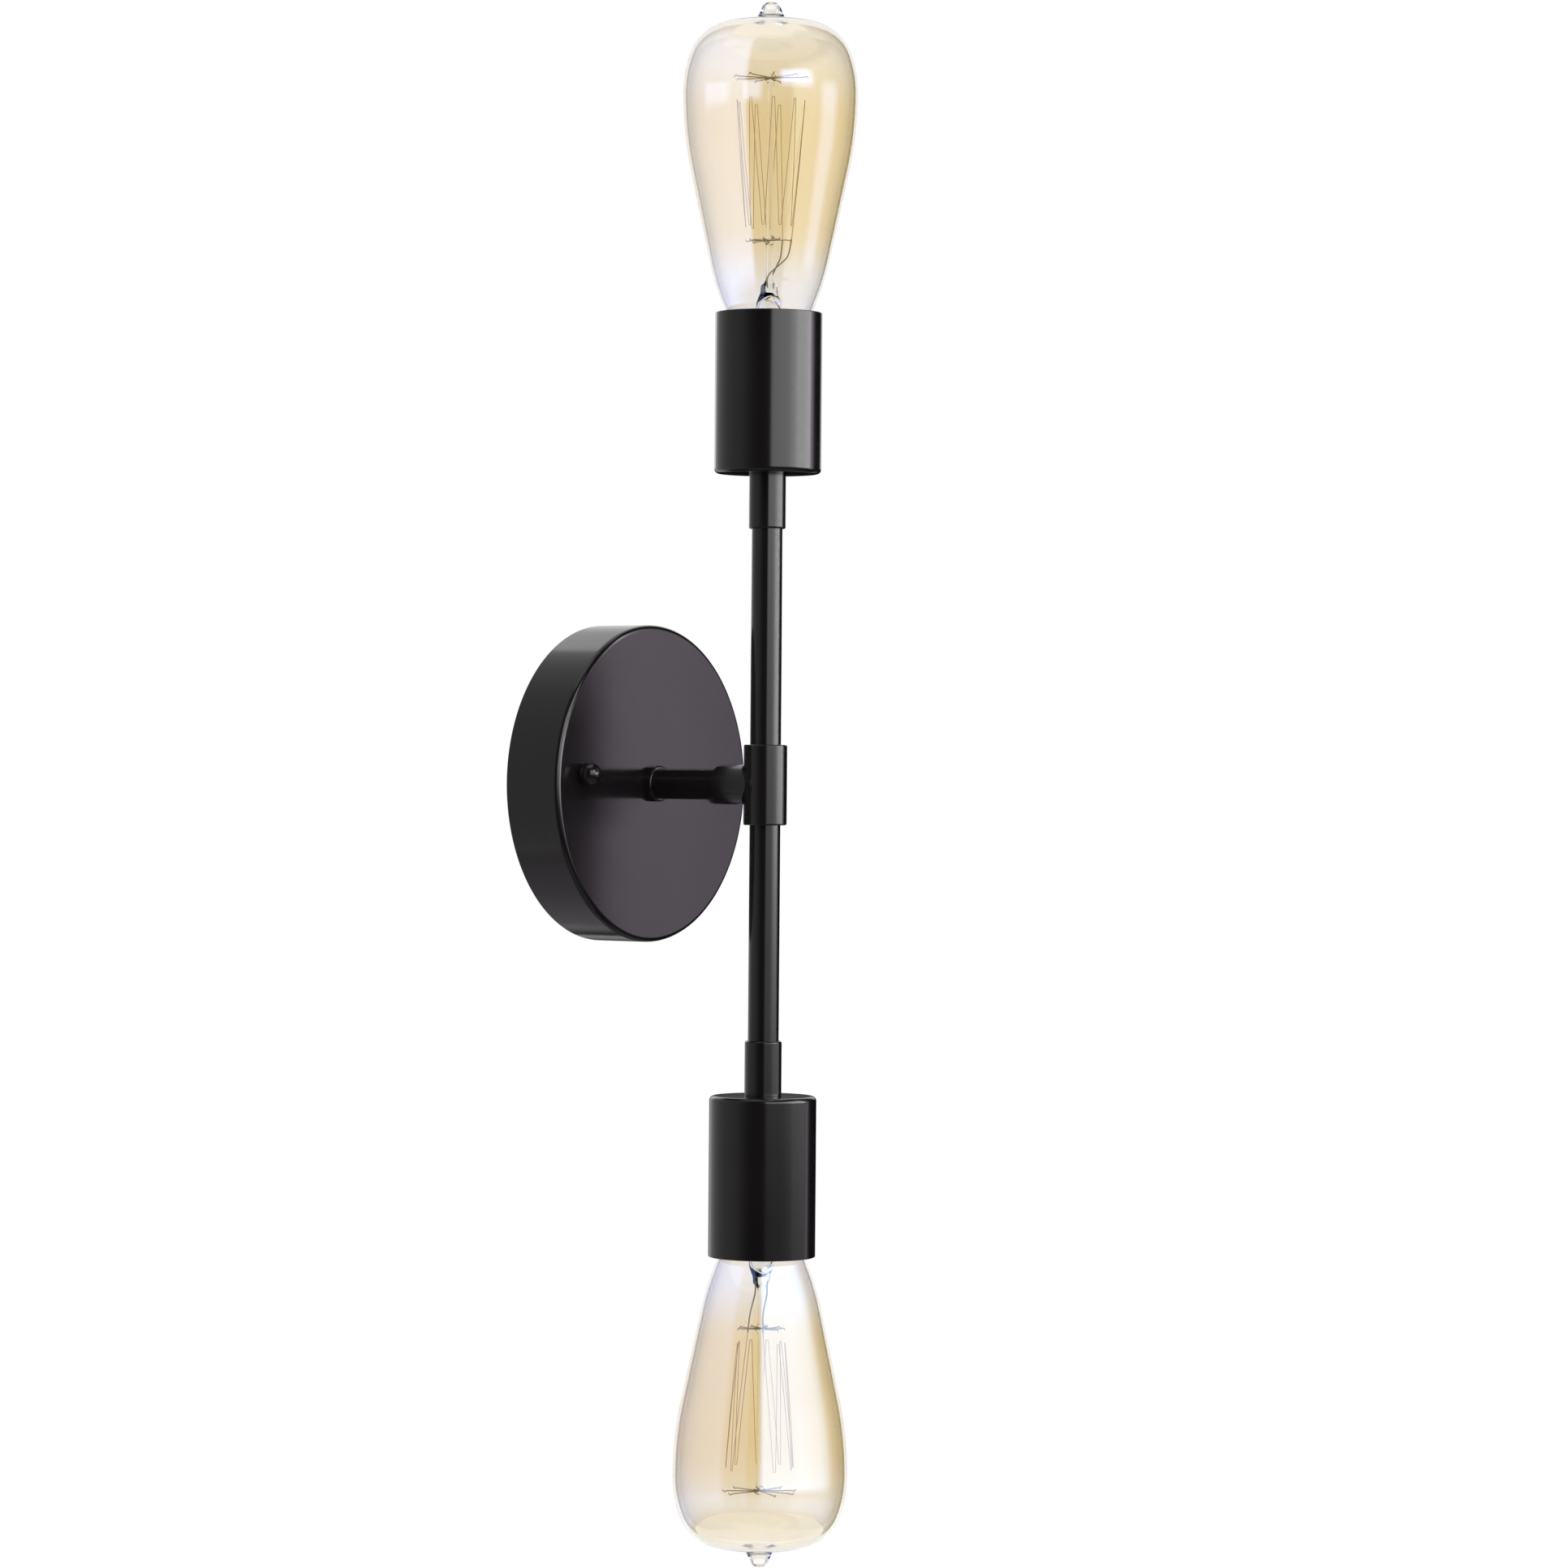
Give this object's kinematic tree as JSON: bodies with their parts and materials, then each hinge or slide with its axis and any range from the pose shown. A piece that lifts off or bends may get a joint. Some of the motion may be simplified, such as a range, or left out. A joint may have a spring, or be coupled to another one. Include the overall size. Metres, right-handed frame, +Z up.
{
  "type": "double wall sconce",
  "caption": "Satin black wall sconce: a round canopy and a short arm carry a bar that ends above and below in a cylindrical cup with a pear-shaped squirrel-cage bulb.",
  "frame": {"origin": "middle of the mounting strap's back face, on the wall", "axes": "+Z up along the wall and the bar, +Y into the wall, -Y out to the room, +X to the right for someone facing the wall"},
  "size_m": [0.12, 0.1081, 0.5836],
  "materials": {
    "satin_black": "satin black paint",
    "plated_steel": "zinc plated",
    "earth_green": "green passivated",
    "brass": "plain stamped",
    "lead_black": "extruded insulation",
    "lead_white": "extruded insulation",
    "lead_green": "extruded insulation",
    "splice_yellow": "moulded",
    "holder_black": "moulded phenolic",
    "amber_glass": "clear, tinted amber",
    "stem_glass": "clear",
    "black_glass": "fused black glass",
    "bulb_cap_metal": "bright pressed",
    "solder": "soft solder",
    "support_wire": "drawn wire",
    "filament_wire": "fine drawn wire"
  },
  "bodies": {
    "fixture": {"canopy": "satin_black", "mounting_strap": "plated_steel", "canopy_studs": "plated_steel", "stud_locknuts": "plated_steel", "cap_nuts": "satin_black", "earth_screw": "earth_green", "earth_lug": "brass", "earth_lead": "lead_green", "arm_ring": "satin_black", "arm_nipple": "plated_steel", "arm_spring_washer": "plated_steel", "arm_locknut": "plated_steel", "arm_tube": "satin_black", "tee": "satin_black", "live_splice_cap": "splice_yellow", "neutral_splice_cap": "splice_yellow", "upper_tube": "satin_black", "upper_coupler": "satin_black", "upper_cup": "satin_black", "upper_cup_nipple": "plated_steel", "upper_cup_locknut": "plated_steel", "upper_holder_cap": "holder_black", "upper_holder_body": "holder_black", "upper_screw_shell": "brass", "upper_tongue": "brass", "upper_terminal_screws": "brass", "upper_live_lead": "lead_black", "upper_neutral_lead": "lead_white", "lower_tube": "satin_black", "lower_coupler": "satin_black", "lower_cup": "satin_black", "lower_cup_nipple": "plated_steel", "lower_cup_locknut": "plated_steel", "lower_holder_cap": "holder_black", "lower_holder_body": "holder_black", "lower_screw_shell": "brass", "lower_tongue": "brass", "lower_terminal_screws": "brass", "lower_live_lead": "lead_black", "lower_neutral_lead": "lead_white"},
    "upper_bulb_base": {"upper_bulb_insulator": "black_glass", "upper_bulb_end_contact": "solder"},
    "upper_bulb": {"upper_bulb_cap": "bulb_cap_metal", "upper_bulb_glass": "amber_glass", "upper_bulb_stem": "stem_glass", "upper_bulb_supports": "support_wire", "upper_bulb_filament": "filament_wire"},
    "lower_bulb_base": {"lower_bulb_insulator": "black_glass", "lower_bulb_end_contact": "solder"},
    "lower_bulb": {"lower_bulb_cap": "bulb_cap_metal", "lower_bulb_glass": "amber_glass", "lower_bulb_stem": "stem_glass", "lower_bulb_supports": "support_wire", "lower_bulb_filament": "filament_wire"}
  },
  "joints": [
    {"name": "upper_bulb_travel", "type": "slide", "parent": "fixture", "child": "upper_bulb_base", "axis": [0, 0, 1], "range_m": [0, 0.0134]},
    {"name": "upper_bulb_turn", "type": "hinge", "parent": "upper_bulb_base", "child": "upper_bulb", "pos_m": [0, -0.0755, 0.15], "axis": [0, 0, 1], "range_deg": [0, 1320]},
    {"name": "lower_bulb_travel", "type": "slide", "parent": "fixture", "child": "lower_bulb_base", "axis": [0, 0, -1], "range_m": [0, 0.0134]},
    {"name": "lower_bulb_turn", "type": "hinge", "parent": "lower_bulb_base", "child": "lower_bulb", "pos_m": [0, -0.0755, -0.15], "axis": [0, 0, -1], "range_deg": [0, 1320]}
  ],
  "couplings": [
    {"joint": "upper_bulb_travel", "follows": "upper_bulb_turn", "m_per_rad": 0.0005775},
    {"joint": "lower_bulb_travel", "follows": "lower_bulb_turn", "m_per_rad": 0.0005775}
  ]
}
